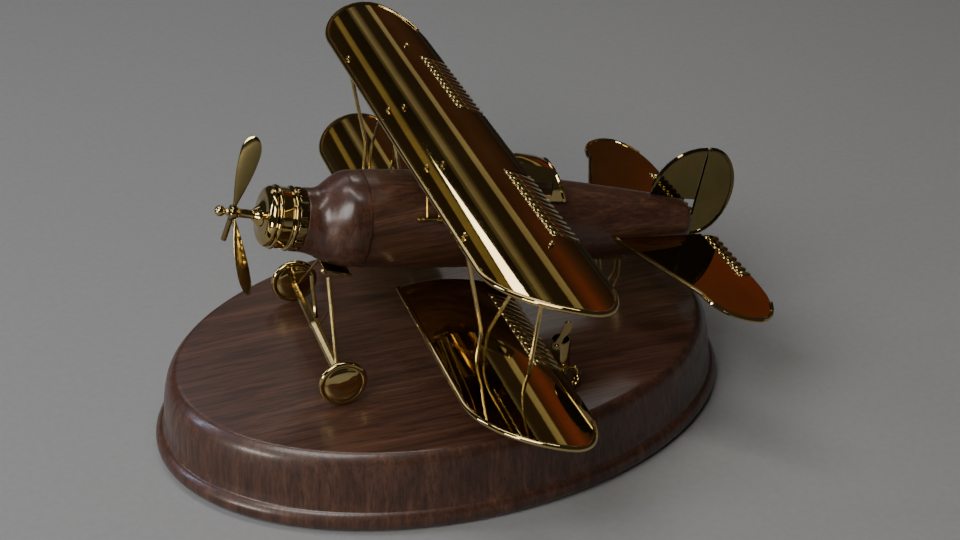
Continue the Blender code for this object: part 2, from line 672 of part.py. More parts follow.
def make_tail_wheel():
    x, _, z = TAIL_WHEEL
    wheel = [(0.9, -1.2), (2.2, -1.2), (2.4, -0.9)] + arc((TAIL_WHEEL_RADIUS - 1.2, 0.0), 1.2, -60, 60, 4)
    wheel += [(2.4, 0.9), (2.2, 1.2), (0.9, 1.2)]
    solid("tail_wheel", *turned_shape(wheel, 18), DARK_BRASS, None, TAIL_WHEEL, (math.radians(90), 0.0, 0.0))
    fork = solid("tail_fork", *bar_shape([(x, -4.2, z), (x, 4.2, z)], 0.6, 8), BRASS)
    for side in (-1, 1):
        y = side * 3.2
        arms = [(x - 5.5, y, 71.0), (x - 4.5, y, 60.0), (x - 1.2, y, 49.6), (x, y, z - 0.3),
                (x + 1.8, y, 49.2), (x + 6.2, y, 58.0), (x + 6.6, y, 70.0)]
        combine(fork, solid("arm", *bar_shape(arms, 0.8, 6), BRASS), "UNION")
    lean = math.tan(AIRFRAME_PITCH)
    verts, faces = box_shape((x - 8, -4.4, 0), (x + 9, 4.4, 1.2))
    sloped = [(vx, vy, vz + 70.2 - lean * (vx - x)) for vx, vy, vz in verts]
    combine(fork, solid("shoe", sloped, faces, BRASS), "UNION")
    fork.data.shade_smooth()
    fork.data.set_sharp_from_angle(angle=math.radians(35))


# ---------------------------------------------------------------- undercarriage

def make_wheels():
    outer = [(0.0, -3.5), (4.0, -3.2), (8.0, -2.3), (9.9, -1.5)]
    tyre = arc((WHEEL_RADIUS - 1.7, 0.0), 1.7, -130, 130, 6)
    inner = [(9.9, 1.5), (8.0, 2.3), (4.0, 3.2), (2.6, 3.6), (1.4, 3.6), (1.4, -0.8), (0.0, -0.8)]
    for side, word in ((-1, "left"), (1, "right")):
        place = (AXLE[0], side * WHEEL_TRACK / 2, AXLE[2])
        turn = (math.radians(-90 * side * -1), 0.0, 0.0)
        solid("wheel_" + word, *turned_shape(outer + tyre + inner, 28), BRASS, None, place, turn)


def make_axle():
    x, _, z = AXLE
    reach = WHEEL_TRACK / 2 - 0.2
    solid("axle_rod", *bar_shape([(x, -reach, z), (x, reach, z)], 1.05, 12), DARK_BRASS)
    section = []
    for i in range(16):
        angle = 2 * math.pi * i / 16
        reed = 1.0 + 0.06 * math.cos(8 * angle)
        section.append((2.5 * reed * math.cos(angle), 2.1 * reed * math.sin(angle)))
    spans = [(-40.5, 0.75), (-38.0, 1.0), (1.0, 1.0), (2.5, 1.12), (6.5, 1.12), (8.0, 1.0), (34.0, 1.0), (36.5, 0.78),
             (39.0, 0.74), (40.6, 0.95), (42.2, 0.74), (44.0, 0.74), (45.8, 0.95), (47.0, 0.74)]
    rings = [[(x + u * s, y, z + v * s) for u, v in section] for y, s in spans]
    fairing = solid("axle_fairing", *loft_shape(rings), BRASS)
    bore = solid("bore", *bar_shape([(x, -60, z), (x, 60, z)], 1.4, 12), BRASS)
    combine(fairing, bore, "DIFFERENCE")
    fairing.data.shade_smooth()
    fairing.data.set_sharp_from_angle(angle=math.radians(35))


def make_saddle():
    """Bracket under the belly: sloping plate between two rails, with a round boss up to the wood."""
    front, rear = (-65.0, 101.2), (-51.5, 96.0)
    verts, faces = box_shape((front[0], -12.0, 0.0), (rear[0], 12.0, 1.0))
    slope = (rear[1] - front[1]) / (rear[0] - front[0])
    plate = [(vx, vy, vz + front[1] + slope * (vx - front[0]) - 0.5) for vx, vy, vz in verts]
    saddle = solid("gear_saddle", plate, faces, BRASS)
    for side in (-1, 1):
        y = side * 12.0
        path = [(front[0] - 2.2, y, front[1] + 0.8), (front[0] - 1.4, y, front[1] + 0.5),
                (front[0], y, front[1]), (front[0] + 1.3, y, front[1] - 0.5), (rear[0], y, rear[1])]
        rail = solid("rail", *tube_shape(path, [0.8, 1.6, 1.7, 1.1, 1.1], 8), BRASS)
        combine(saddle, rail, "UNION")
    boss = solid("boss", *bar_shape([(-58.2, 0, 98.4), (-57.9, 0, 99.15)], 4.0, 16), BRASS)
    combine(saddle, boss, "UNION")
    saddle.data.shade_smooth()
    saddle.data.set_sharp_from_angle(angle=math.radians(35))


def make_gear_legs():
    top = AXLE[2] + 2.9
    near = [(-68.0, -38.0, top + 0.3), (-67.7, -36.6, top + 2.8), (-64.2, -15.6, 96.5), (-64.0, -14.4, 98.6)]
    solid("gear_leg_left", *bar_shape(near, 1.2, 8), BRASS)
    middle = [(-66.9, 6.4, top + 0.9), (-66.6, 9.4, top + 2.4), (-66.2, 12.6, 68.0), (-65.8, 16.6, 81.6)]
    solid("gear_leg_centre", *bar_shape(middle, 1.1, 8), BRASS)
    solid("gear_brace_right", *bar_shape([(-67.9, 43.2, top - 0.6), (-64.4, 4.0, 98.7)], 0.6, 6), BRASS)
    solid("gear_brace_left", *bar_shape([(-67.2, 0.0, top), (-66.0, -21.2, 83.0)], 0.6, 6), BRASS)


# ---------------------------------------------------------------- desk fitting behind the left wing

STAND = (45.0, -66.5)
STAND_RADIUS = 5.0
STAND_BORE = 4.0
STAND_HEIGHT = 24.9
FACING = math.radians(19.15)      # the lever's plane is turned this far from the XZ plane
LUG_OFFSET = -2.64
LEVER_HEIGHT = 69.5


def make_stand():
    """Upright open tube with a flared side socket and a lug, and a lever pinned on the lug."""
    floor = BASE_HEIGHT + CLEAR
    top = STAND_HEIGHT
    tube = [(0.0, 0.0), (5.9, 0.0), (5.9, 1.2), (STAND_RADIUS, 2.0), (STAND_RADIUS, top - 0.8),
            (STAND_RADIUS - 0.3, top), (STAND_BORE + 0.2, top), (STAND_BORE, top - 0.8), (STAND_BORE, 6.6), (0.0, 6.6)]
    stand = solid("stand_tube", *turned_shape(tube, 16), BRASS, None, (STAND[0], STAND[1], floor))
    direction = Vector((0.216, -0.857, 0.469)).normalized()
    turn = Vector((0, 0, 1)).rotation_difference(direction).to_euler()
    socket = [(0.0, -6.0), (2.6, -6.0), (3.0, -4.5), (4.2, -2.4), (5.2, -1.8), (5.2, -1.2), (5.7, -1.0), (6.2, -0.4),
              (6.2, 0.4), (5.4, 0.8), (4.4, 0.5), (3.6, -0.4), (3.4, -2.4), (0.0, -2.6)]
    mouth = (47.8, -75.2, 50.4)
    horn = solid("socket", *turned_shape(socket, 16), BRASS, None, mouth, tuple(turn))
    combine(stand, horn, "UNION")
    side = Vector((math.cos(FACING), -math.sin(FACING), 0.0))
    out = Vector((-math.sin(FACING), -math.cos(FACING), 0.0))
    lug_at = Vector((STAND[0], STAND[1], 0.0)) + side * LUG_OFFSET
    turn = (0.0, 0.0, -FACING)
    lug = solid("lug", *box_shape((-2.0, -5.2, 57.5), (2.0, -3.9, 71.0)), BRASS, None, tuple(lug_at), turn)
    combine(stand, lug, "UNION")
    pivot = lug_at + out * 5.2 + Vector((0, 0, LEVER_HEIGHT))
    pin_path = [(0, 0.6, 0), (0, -2.2, 0), (0, -2.3, 0), (0, -2.9, 0)]
    pin = solid("pin", *tube_shape(pin_path, [0.7, 0.7, 1.4, 1.1], 12), BRASS, None, tuple(pivot), turn)
    combine(stand, pin, "UNION")
    stand.data.shade_smooth()
    stand.data.set_sharp_from_angle(angle=math.radians(35))
    make_lever(pivot, turn)


def make_lever(pivot, turn):
    """Flat lever in the pivot's XZ plane: (place, height, half width) rows from the eye to the thumb plate."""
    rows = [(0.0, 0.0, 1.9), (2.6, 5.6, 1.2), (4.8, 9.6, 2.0), (5.9, 12.8, 2.2)]
    right = [(u + 0.93 * half, w - 0.37 * half) for u, w, half in rows]
    left = [(u - 0.93 * half, w + 0.37 * half) for u, w, half in reversed(rows)]
    crown = [(5.9 + 2.2 * math.cos(a), 12.8 + 2.2 * math.sin(a)) for a in (0.3, 1.0, 1.7, 2.3)]
    eye = [(1.9 * math.cos(a), 1.9 * math.sin(a)) for a in (3.4, 4.2, 5.0)]
    outline = right + crown + left + eye
    rings = [[(u, y, w) for u, w in outline] for y in (-1.8, -0.4)]
    lever = solid("stand_lever", *loft_shape(rings), BRASS, None, tuple(pivot), turn)
    hole = solid("hole", *bar_shape([(0, -4, 0), (0, 2, 0)], 1.0, 12), BRASS, None, tuple(pivot), turn)
    combine(lever, hole, "DIFFERENCE")
    lever.data.shade_smooth()
    lever.data.set_sharp_from_angle(angle=math.radians(35))


# ---------------------------------------------------------------- assembly

def main():
    clear_scene()
    airframe = empty("airframe", (0, 0, AXIS_HEIGHT), (0.0, AIRFRAME_PITCH, 0.0))
    nose = empty("nose", COWL_PLANE, (0.0, THRUST_PITCH - math.radians(90), 0.0))
    make_base()
    make_fuselage(airframe)
    make_cowling(nose)
    make_propeller(nose)
    make_wings()
    make_struts()
    make_canopy(airframe)
    make_fin_and_rudder(airframe)
    make_tailplane(airframe)
    make_tail_wheel()
    make_wheels()
    make_axle()
    make_saddle()
    make_gear_legs()
    make_stand()


main()
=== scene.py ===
"""Looks for the brass and walnut biplane display model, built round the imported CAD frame.

World axes: -X is the nose, -Y the left (near) wing, +Z up. Lengths are in metres.
"""

import json
import math

import bmesh
import bpy
from mathutils import Matrix, Vector

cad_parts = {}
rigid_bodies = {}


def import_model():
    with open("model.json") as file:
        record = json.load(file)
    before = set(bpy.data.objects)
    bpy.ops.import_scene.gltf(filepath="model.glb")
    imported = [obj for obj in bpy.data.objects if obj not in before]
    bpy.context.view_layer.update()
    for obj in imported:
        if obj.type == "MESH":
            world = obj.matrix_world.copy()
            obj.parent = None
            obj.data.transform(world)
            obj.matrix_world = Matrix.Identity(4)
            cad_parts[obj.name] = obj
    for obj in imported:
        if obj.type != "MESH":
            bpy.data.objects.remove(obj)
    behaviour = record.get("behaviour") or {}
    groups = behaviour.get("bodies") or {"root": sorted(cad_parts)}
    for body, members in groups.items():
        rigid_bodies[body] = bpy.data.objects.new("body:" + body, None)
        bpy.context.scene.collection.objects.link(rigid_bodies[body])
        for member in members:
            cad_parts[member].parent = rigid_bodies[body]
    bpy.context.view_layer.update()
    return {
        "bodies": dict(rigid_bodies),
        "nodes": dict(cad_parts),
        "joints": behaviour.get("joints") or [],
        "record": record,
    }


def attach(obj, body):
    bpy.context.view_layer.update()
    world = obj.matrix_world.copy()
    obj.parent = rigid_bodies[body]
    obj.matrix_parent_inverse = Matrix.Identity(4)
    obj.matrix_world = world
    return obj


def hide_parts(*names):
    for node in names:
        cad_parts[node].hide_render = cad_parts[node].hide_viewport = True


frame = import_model()
NODES = frame["nodes"]
MM = 0.001


# ---------------------------------------------------------------- node helpers

class Shader:
    """A material under construction: adds nodes and joins their sockets."""

    def __init__(self, name, **values):
        self.material = bpy.data.materials.new(name)
        self.material.use_nodes = True
        self.tree = self.material.node_tree
        self.surface = self.tree.nodes["Principled BSDF"]
        for socket, value in values.items():
            self.surface.inputs[socket.replace("_", " ")].default_value = value

    def add(self, kind, links=None, **settings):
        node = self.tree.nodes.new(kind)
        for key, value in settings.items():
            setattr(node, key, value)
        for socket, value in (links or {}).items():
            if isinstance(value, bpy.types.NodeSocket):
                self.tree.links.new(value, node.inputs[socket])
            else:
                node.inputs[socket].default_value = value
        return node

    def place(self, scale, turn=(0.0, 0.0, 0.0)):
        where = self.add("ShaderNodeTexCoord")
        return self.add("ShaderNodeMapping", {
            "Vector": where.outputs["Object"], "Rotation": turn, "Scale": scale}).outputs[0]

    def noise(self, vector, scale, detail=3.0, roughness=0.5, distortion=0.0):
        return self.add("ShaderNodeTexNoise", {
            "Vector": vector, "Scale": scale, "Detail": detail, "Roughness": roughness,
            "Distortion": distortion}).outputs[0]

    def math(self, operation, a, b=0.5, c=0.0):
        return self.add("ShaderNodeMath", {0: a, 1: b, 2: c}, operation=operation).outputs[0]

    def ramp(self, factor, stops):
        node = self.add("ShaderNodeValToRGB", {"Fac": factor})
        points = node.color_ramp.elements
        while len(points) < len(stops):
            points.new(0.5)
        for point, (spot, colour) in zip(points, stops):
            point.position = spot
            point.color = (*colour, 1.0)
        return node.outputs[0]

    def level(self, factor, low, high, out_low, out_high):
        return self.add("ShaderNodeMapRange", {
            "Value": factor, "From Min": low, "From Max": high, "To Min": out_low, "To Max": out_high}).outputs[0]

    def mix(self, factor, a, b):
        node = self.add("ShaderNodeMix", data_type="RGBA")
        for index, value in ((0, factor), (6, a), (7, b)):
            if isinstance(value, bpy.types.NodeSocket):
                self.tree.links.new(value, node.inputs[index])
            else:
                node.inputs[index].default_value = value if index == 0 else (*value, 1.0)
        return node.outputs[2]

    def bump(self, height, strength, distance, normal=None):
        links = {"Height": height, "Strength": strength, "Distance": distance}
        if normal is not None:
            links["Normal"] = normal
        return self.add("ShaderNodeBump", links).outputs[0]

    def set(self, **sockets):
        for name, value in sockets.items():
            self.tree.links.new(value, self.surface.inputs[name.replace("_", " ")])


# ---------------------------------------------------------------- materials

def make_brass(name, colour, dark, roughness):
    """Polished brass: clouds of tarnish, fine polishing scratches and a slightly uneven sheet."""
    s = Shader(name, Metallic=1.0)
    cloud = s.noise(s.place((15, 15, 15)), 1.0, 4.0, 0.6)
    fine = s.noise(s.place((420, 420, 420)), 1.0, 3.0, 0.6)
    tone = s.ramp(cloud, [(0.32, dark), (0.60, colour)])
    s.set(Base_Color=s.mix(s.level(fine, 0.45, 0.75, 0.0, 0.35), tone, dark))
    s.set(Roughness=s.level(s.math("ADD", s.math("MULTIPLY", cloud, 0.6), s.math("MULTIPLY", fine, 0.4)),
                            0.3, 0.7, roughness * 0.5, roughness * 1.7))
    s.set(Normal=s.bump(fine, 0.015, 0.0001))
    return s.material


def walnut_figure(s, grain, turn, swirl):
    """Colour, fine grain and pores of walnut whose grain runs along the axis with the smallest scale."""
    drift = s.add("ShaderNodeTexNoise", {"Vector": s.place((8, 8, 8)), "Scale": 1.0, "Detail": 2.0}).outputs[1]
    bend = s.add("ShaderNodeVectorMath", {0: drift, "Scale": swirl}, operation="SCALE").outputs[0]
    bent = s.add("ShaderNodeVectorMath", {0: s.place(grain, turn=turn), 1: bend}, operation="ADD").outputs[0]
    bands = s.noise(bent, 1.0, 4.0, 0.60, 0.25)
    fine = s.noise(bent, 4.0, 4.0, 0.75)
    pores = s.noise(bent, 9.0, 2.0, 0.7)
    tone = s.ramp(bands, [(0.28, (0.038, 0.0150, 0.0085)), (0.45, (0.062, 0.0255, 0.0145)),
                          (0.58, (0.082, 0.0350, 0.0200)), (0.74, (0.118, 0.0530, 0.0310))])
    tone = s.mix(s.level(fine, 0.38, 0.57, 0.72, 0.0), tone, (0.024, 0.0095, 0.0058))
    tone = s.mix(s.level(pores, 0.56, 0.68, 0.0, 0.60), tone, (0.012, 0.0048, 0.0030))
    return tone, fine, pores


def make_walnut(name, grain, turn, swirl, roughness, side_grain=None):
    """Dark satin walnut under a thin lacquer; side_grain gives the figure of upright faces."""
    s = Shader(name, Metallic=0.0, Coat_Weight=0.30, Coat_Roughness=0.18, Coat_IOR=1.5, IOR=1.46)
    tone, fine, pores = walnut_figure(s, grain, turn, swirl)
    if side_grain:
        upright = s.add("ShaderNodeSeparateXYZ", {"Vector": s.add("ShaderNodeNewGeometry").outputs["Normal"]})
        share = s.level(upright.outputs[2], 0.75, 0.95, 1.0, 0.0)
        side, side_fine, side_pores = walnut_figure(s, side_grain, (0.25, 0.35, 0.0), swirl * 1.5)
        tone = s.mix(share, tone, side)
        pores = s.math("MULTIPLY_ADD", s.math("SUBTRACT", side_pores, pores), share, pores)
        fine = s.math("MULTIPLY_ADD", s.math("SUBTRACT", side_fine, fine), share, fine)
    s.set(Base_Color=tone)
    s.set(Roughness=s.level(fine, 0.3, 0.7, roughness * 1.25, roughness * 0.8))
    s.set(Normal=s.bump(pores, 0.22, 0.0002, s.bump(fine, 0.16, 0.0003)))
    return s.material


def make_felt():
    """Matt baize pad under the base."""
    s = Shader("felt", Sheen_Weight=0.5, Sheen_Roughness=0.6)
    fibres = s.noise(s.place((900, 900, 900)), 1.0, 4.0, 0.7)
    s.set(Base_Color=s.ramp(fibres, [(0.3, (0.008, 0.014, 0.009)), (0.7, (0.035, 0.055, 0.035))]))
    s.set(Roughness=s.level(fibres, 0.3, 0.7, 0.9, 1.0), Normal=s.bump(fibres, 0.6, 0.0004))
    return s.material


BRASS = make_brass("brass", (0.62, 0.48, 0.20), (0.44, 0.32, 0.12), 0.035)
DARK_BRASS = make_brass("dark_brass", (0.40, 0.30, 0.13), (0.24, 0.17, 0.07), 0.08)
# Paler, rougher copy of brass for struts, gear legs and the lower blade: the roughness is real finish, the paler
# colour is painted light that brightens them.
ROUGH_PAINTED_LIGHT_BRASS = make_brass("rough_painted_light_brass", (0.72, 0.56, 0.24), (0.52, 0.39, 0.15), 0.17)
# Darker copy of the same brass for the fin, rudder and upper blade: painted shade, not a different metal.
SHADE_PAINTED_BRASS = make_brass("shade_painted_brass", (0.26, 0.205, 0.08), (0.17, 0.13, 0.05), 0.05)
TOP_WALNUT = make_walnut("walnut_base", (5.0, 120, 120), (0, 0, math.radians(2)), 1.6, 0.37, (150, 150, 15))
BODY_WALNUT = make_walnut("walnut_fuselage", (6.0, 140, 140), (0, math.radians(11.5), 0), 1.1, 0.34)
NOSE_WALNUT = make_walnut("walnut_nose", (105, 105, 15), (math.radians(12), math.radians(-24), 0), 3.0, 0.31)
FELT = make_felt()


# ---------------------------------------------------------------- frames and mesh helpers

def place(x, y, z, pitch):
    """Frame at a point in millimetres, pitched about +Y, with millimetre units."""
    move = Matrix.Translation(Vector((x, y, z)) * MM)
    return move @ Matrix.Rotation(math.radians(pitch), 4, "Y") @ Matrix.Scale(MM, 4)


AIRFRAME = place(0.0, 0.0, 113.2, 11.5)
THRUST = place(-76.4, 0.0, 127.9, 17.8 - 90.0)
UPPER = place(8.1, 0.0, 159.0, 9.0)
LOWER = place(0.7, 0.0, 86.2, 9.0)
WORLD = place(0.0, 0.0, 0.0, 0.0)
CENTRE = (0.0, 0.0, 0.10)


PINHOLE = 0.002


class Mesh:
    """Vertices and faces gathered from several closed shapes."""

    def __init__(self):
        self.verts, self.faces = [], []

    def rings(self, rings, bored=False):
        """Rings joined in a row. A bored shape joins its last ring back to its first instead of being capped."""
        start, count = len(self.verts), len(rings[0])
        for ring in rings:
            self.verts += [tuple(p) for p in ring]
        for level in range(len(rings) if bored else len(rings) - 1):
            low, high = start + level * count, start + (level + 1) % len(rings) * count
            for i in range(count):
                j = (i + 1) % count
                self.faces.append((low + i, low + j, high + j, high + i))
        if not bored:
            last = start + (len(rings) - 1) * count
            self.faces.append(tuple(reversed(range(start, start + count))))
            self.faces.append(tuple(range(last, last + count)))
        return self

    def turned(self, profile, sides, frame=None, bored=False):
        """Profile of (radius, z) spun about z. A zero radius is opened to a pinhole, to keep its ring whole."""
        rings = []
        for radius, z in profile:
            radius = max(radius, PINHOLE)
            angles = [2 * math.pi * i / sides for i in range(sides)]
            ring = [Vector((radius * math.cos(angle), radius * math.sin(angle), z)) for angle in angles]
            rings.append([frame @ p for p in ring] if frame else ring)
        return self.rings(rings, bored=bored)

    def tube(self, path, radius, sides):
        """Round rod along a path, its rings turned as little as possible from one point to the next."""
        points = [Vector(p) for p in path]
        rings, normal = [], None
        for k, point in enumerate(points):
            tangent = (points[min(k + 1, len(points) - 1)] - points[max(k - 1, 0)]).normalized()
            if normal is None:
                helper = Vector((0, 0, 1)) if abs(tangent.z) < 0.9 else Vector((1, 0, 0))
                normal = helper.cross(tangent).normalized()
            normal = (normal - tangent * normal.dot(tangent)).normalized()
            across = tangent.cross(normal)
            rings.append([point + (normal * math.cos(2 * math.pi * i / sides)
                                   + across * math.sin(2 * math.pi * i / sides)) * radius for i in range(sides)])
        return self.rings(rings)

    def ball(self, centre, radius, stretch, rows=10, sides=16):
        rings = []
        for k in range(rows + 1):
            polar = math.pi * min(max(k / rows, 0.01), 0.99)
            rings.append([(centre[0] + radius * stretch[0] * math.sin(polar) * math.cos(2 * math.pi * i / sides),
                           centre[1] + radius * stretch[1] * math.sin(polar) * math.sin(2 * math.pi * i / sides),
                           centre[2] - radius * stretch[2] * math.cos(polar)) for i in range(sides)])
        return self.rings(rings)


def smooth_row(rows, steps):
    """Catmull-Rom curve through rows of numbers, with that many steps between neighbours."""
    made = []
    for k in range(len(rows) - 1):
        a, b, c, d = rows[max(k - 1, 0)], rows[k], rows[k + 1], rows[min(k + 2, len(rows) - 1)]
        for i in range(steps):
            t = i / steps
            made.append(tuple(0.5 * (2 * q + (r - p) * t + (2 * p - 5 * q + 4 * r - s) * t * t
                                     + (3 * q - p - 3 * r + s) * t ** 3) for p, q, r, s in zip(a, b, c, d)))
    return made + [tuple(rows[-1])]


def rounded(profile, cut=0.25):
    """Profile with each corner cut by two points, so that turned edges catch a highlight."""
    made = [profile[0]]
    for before, here, after in zip(profile, profile[1:], profile[2:]):
        for other in (before, after):
            gap = math.dist(other, here)
            share = min(cut / gap, 0.4) if gap > 1e-6 else 0.0
            made.append(tuple(h + (o - h) * share for h, o in zip(here, other)))
    return made + [profile[-1]]


def piece(name, mesh, frame, finish, body, nodes, sharp, bevel_width=0.0):
    """One visible piece: mesh in a frame, finished, riding on a body in place of CAD nodes."""
    data = bpy.data.meshes.new(name)
    data.from_pydata([frame @ Vector(v) for v in mesh.verts], [], mesh.faces)
    bm = bmesh.new()
    bm.from_mesh(data)
    bmesh.ops.recalc_face_normals(bm, faces=bm.faces)
    bm.to_mesh(data)
    bm.free()
    data.shade_smooth()
    data.set_sharp_from_angle(angle=math.radians(sharp))
    data.materials.append(finish)
    obj = bpy.data.objects.new(name, data)
    bpy.context.scene.collection.objects.link(obj)
    if bevel_width:
        bevel = obj.modifiers.new("edges", "BEVEL")
        bevel.width, bevel.segments, bevel.limit_method = bevel_width * MM, 2, "ANGLE"
        bevel.angle_limit = math.radians(40)
    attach(obj, body)
    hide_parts(*nodes)


def superellipse(angle, power):
    """Point on a unit oval that squares up as the power rises above 2."""
    cos, sin = math.cos(angle), math.sin(angle)
    return math.copysign(abs(cos) ** (2 / power), cos), math.copysign(abs(sin) ** (2 / power), sin)


# ---------------------------------------------------------------- wood

BASE_CENTRE = (0.5, -4.3)
BASE_HALF = (160.35, 109.75)
BASE_TURN = math.radians(1.9)
BASE_SIDES = 224


def base_ring(height, scale):
    ring = []
    for i in range(BASE_SIDES):
        angle = 2 * math.pi * i / BASE_SIDES
        x, y = BASE_HALF[0] * scale * math.cos(angle), BASE_HALF[1] * scale * math.sin(angle)
        ring.append((BASE_CENTRE[0] + x * math.cos(BASE_TURN) - y * math.sin(BASE_TURN),
                     BASE_CENTRE[1] + x * math.sin(BASE_TURN) + y * math.cos(BASE_TURN), height))
    return ring


def make_base():
    """Moulded oval plinth: bottom bead, cove, convex side, quirk and rounded top edge."""
    profile = [(0.3, 0.962), (0.9, 0.975), (2.2, 0.990), (4.0, 0.998), (6.0, 1.0), (8.2, 0.998), (10.0, 0.991),
               (11.2, 0.984), (11.7, 0.979), (12.2, 0.9745), (13.2, 0.972), (14.4, 0.970), (17.0, 0.966),
               (20.0, 0.9645), (24.0, 0.963), (28.0, 0.960), (32.0, 0.956), (35.0, 0.9515), (38.0, 0.946),
               (40.2, 0.939), (42.0, 0.930), (43.2, 0.922), (43.9, 0.915), (44.25, 0.908), (44.3, 0.900)]
    mesh = Mesh().rings([base_ring(h, s) for h, s in [(0.35, 0.90)] + smooth_row(profile, 3)])
    piece("plinth", mesh, WORLD, TOP_WALNUT, "model", ["base_board"], 60)


CARVED_SIDES = 96


def carved(name, sections, finish, node):
    """Wood block lofted along the airframe; rows are (station, centre, half width, half height, power, lean)."""
    rings = []
    for a, centre, wide, high, power, lean in smooth_row(sections, 5):
        ring = []
        for i in range(CARVED_SIDES):
            y, b = superellipse(2 * math.pi * i / CARVED_SIDES, power)
            ring.append((a + lean * b * high, y * wide, centre + b * high))
        rings.append(ring)
    piece(name, Mesh().rings(rings), AIRFRAME, finish, "model", [node], 50)


def make_fuselage():
    carved("nose_carving", [
        (-75.5, -1.1, 16.3, 16.3, 2.0, 0.11), (-75.2, -1.1, 16.5, 16.5, 2.0, 0.11),
        (-73.0, -1.3, 16.7, 16.7, 2.0, 0.11), (-70.5, -1.6, 17.0, 17.0, 2.0, 0.11),
        (-68.5, -1.7, 17.5, 17.5, 2.0, 0.11), (-66.5, -1.6, 18.3, 18.3, 2.0, 0.11),
        (-64.0, -1.3, 19.9, 19.9, 2.0, 0.10), (-61.0, -0.9, 21.8, 21.8, 2.0, 0.08),
        (-58.0, -0.5, 23.2, 23.3, 2.0, 0.06), (-54.0, -0.1, 24.1, 24.4, 2.1, 0.03),
        (-49.0, 0.0, 24.5, 24.8, 2.15, 0.0), (-45.0, 0.0, 24.4, 24.7, 2.2, 0.0), (-44.2, 0.0, 24.1, 24.4, 2.2, 0.0),
        (-44.0, 0.0, 23.6, 23.9, 2.2, 0.0)], NOSE_WALNUT, "nose_block")
    carved("fuselage_carving", [
        (-43.7, 0.0, 22.2, 24.0, 2.4, 0.0), (-43.5, 0.0, 22.9, 24.7, 2.4, 0.0), (-42.5, 0.0, 23.1, 24.8, 2.4, 0.0),
        (-20.0, 0.0, 22.9, 24.8, 2.5, 0.0), (10.0, -0.3, 22.4, 24.6, 2.5, 0.0), (40.0, -0.6, 21.4, 23.9, 2.5, 0.0),
        (70.0, -1.0, 19.6, 22.3, 2.4, 0.0), (95.0, -1.2, 17.6, 20.0, 2.3, 0.0), (118.0, -1.0, 15.5, 17.0, 2.3, 0.0),
        (134.0, -0.7, 13.6, 14.4, 2.3, 0.0), (141.5, -0.6, 12.5, 13.2, 2.3, 0.0), (145.0, -0.5, 11.2, 11.9, 2.2, 0.0),
        (147.0, -0.4, 8.9, 9.4, 2.1, 0.0), (147.7, -0.4, 6.2, 6.6, 2.0, 0.0), (147.75, -0.4, 2.0, 2.2, 2.0, 0.0)],
        BODY_WALNUT, "fuselage_body")


# ---------------------------------------------------------------- nose

BORE = 1.4
COLLAR_BLOCKS = 12


def make_cowling():
    """Turned drum, flared dome and propeller shaft sleeve, with a ring of exhaust blocks behind them."""
    drum = rounded([(0.0, 2.9), (15.4, 2.9), (16.7, 3.3), (16.9, 4.5), (16.2, 5.1), (15.3, 5.3), (15.3, 5.9),
                    (16.0, 6.2), (16.0, 11.3), (16.6, 11.7), (16.6, 12.9), (15.8, 13.5), (0.0, 13.5)])
    piece("cowling_drum", Mesh().turned(drum, 96), THRUST, BRASS, "model", ["cowl_drum"], 50)
    dome = smooth_row([(15.3, 13.9), (15.7, 14.8), (15.2, 16.2), (13.6, 17.6), (11.6, 18.2), (9.6, 18.4),
                       (7.2, 19.0), (5.2, 20.2), (4.0, 21.6), (3.4, 22.35)], 4)
    dome = [(BORE, 13.9)] + dome + [(BORE, 22.4)]
    piece("cowling_dome", Mesh().turned(dome, 96, bored=True), THRUST, BRASS, "model", ["cowl_dome"], 50)
    housing = rounded([(BORE, 22.7), (2.6, 22.7), (2.3, 23.4), (2.3, 30.0), (2.7, 30.4), (2.7, 31.0),
                       (BORE, 31.0)], 0.15)
    piece("shaft_sleeve", Mesh().turned(housing, 40, bored=True), THRUST, BRASS, "model",
          ["shaft_housing"], 50)
    ring_rows = []
    for z in (-1.9, 2.6):
        ring = []
        for i in range(COLLAR_BLOCKS):
            for radius, step in ((16.7, 0.04), (16.7, 0.46), (15.5, 0.54), (15.5, 0.96)):
                angle = 2 * math.pi * (i + step) / COLLAR_BLOCKS
                ring.append((radius * math.cos(angle), radius * math.sin(angle), z))
        ring_rows.append(ring)
    piece("exhaust_blocks", Mesh().rings(ring_rows), THRUST, DARK_BRASS, "model",
          ["exhaust_collar"], 30, 0.25)


BLADE_LENGTH = 44.25
BLADE_ROOT = 4.2
BLADE_CHORD = 10.4
BLADE_ROOT_CHORD = 2.0
BLADE_WIDEST = 0.78


def blade(turn, cone):
    """Twisted paddle blade of lens-shaped section, from root to tip."""
    spin = Matrix.Rotation(math.radians(turn), 4, "Z") @ Matrix.Rotation(math.radians(cone), 4, "Y")
    rings = []
    for k in range(41):
        t = min(math.sin(math.pi / 2 * k / 40), 0.9995)
        swell = BLADE_ROOT_CHORD + (BLADE_CHORD - BLADE_ROOT_CHORD) * math.sin(
            math.pi / 2 * min(1.0, t / BLADE_WIDEST)) ** 1.1
        tip = math.sqrt(max(0.0, 1.0 - max(0.0, (t - BLADE_WIDEST) / 0.22) ** 2))
        chord, thick = max(0.5, swell * tip), max(0.25, (1.9 - 1.1 * t) * max(tip, 0.2))
        twist = math.radians(70.0 - 16.0 * t)
        ring = []
        for i in range(28):
            angle = 2 * math.pi * i / 28
            along, across = chord / 2 * math.cos(angle), thick / 2 * math.sin(angle) * abs(math.sin(angle)) ** 0.35
            ring.append(spin @ Vector((BLADE_ROOT + t * (BLADE_LENGTH - BLADE_ROOT),
                                       along * math.cos(twist) - across * math.sin(twist),
                                       along * math.sin(twist) + across * math.cos(twist))))
        rings.append(ring)
    return Mesh().rings(rings)


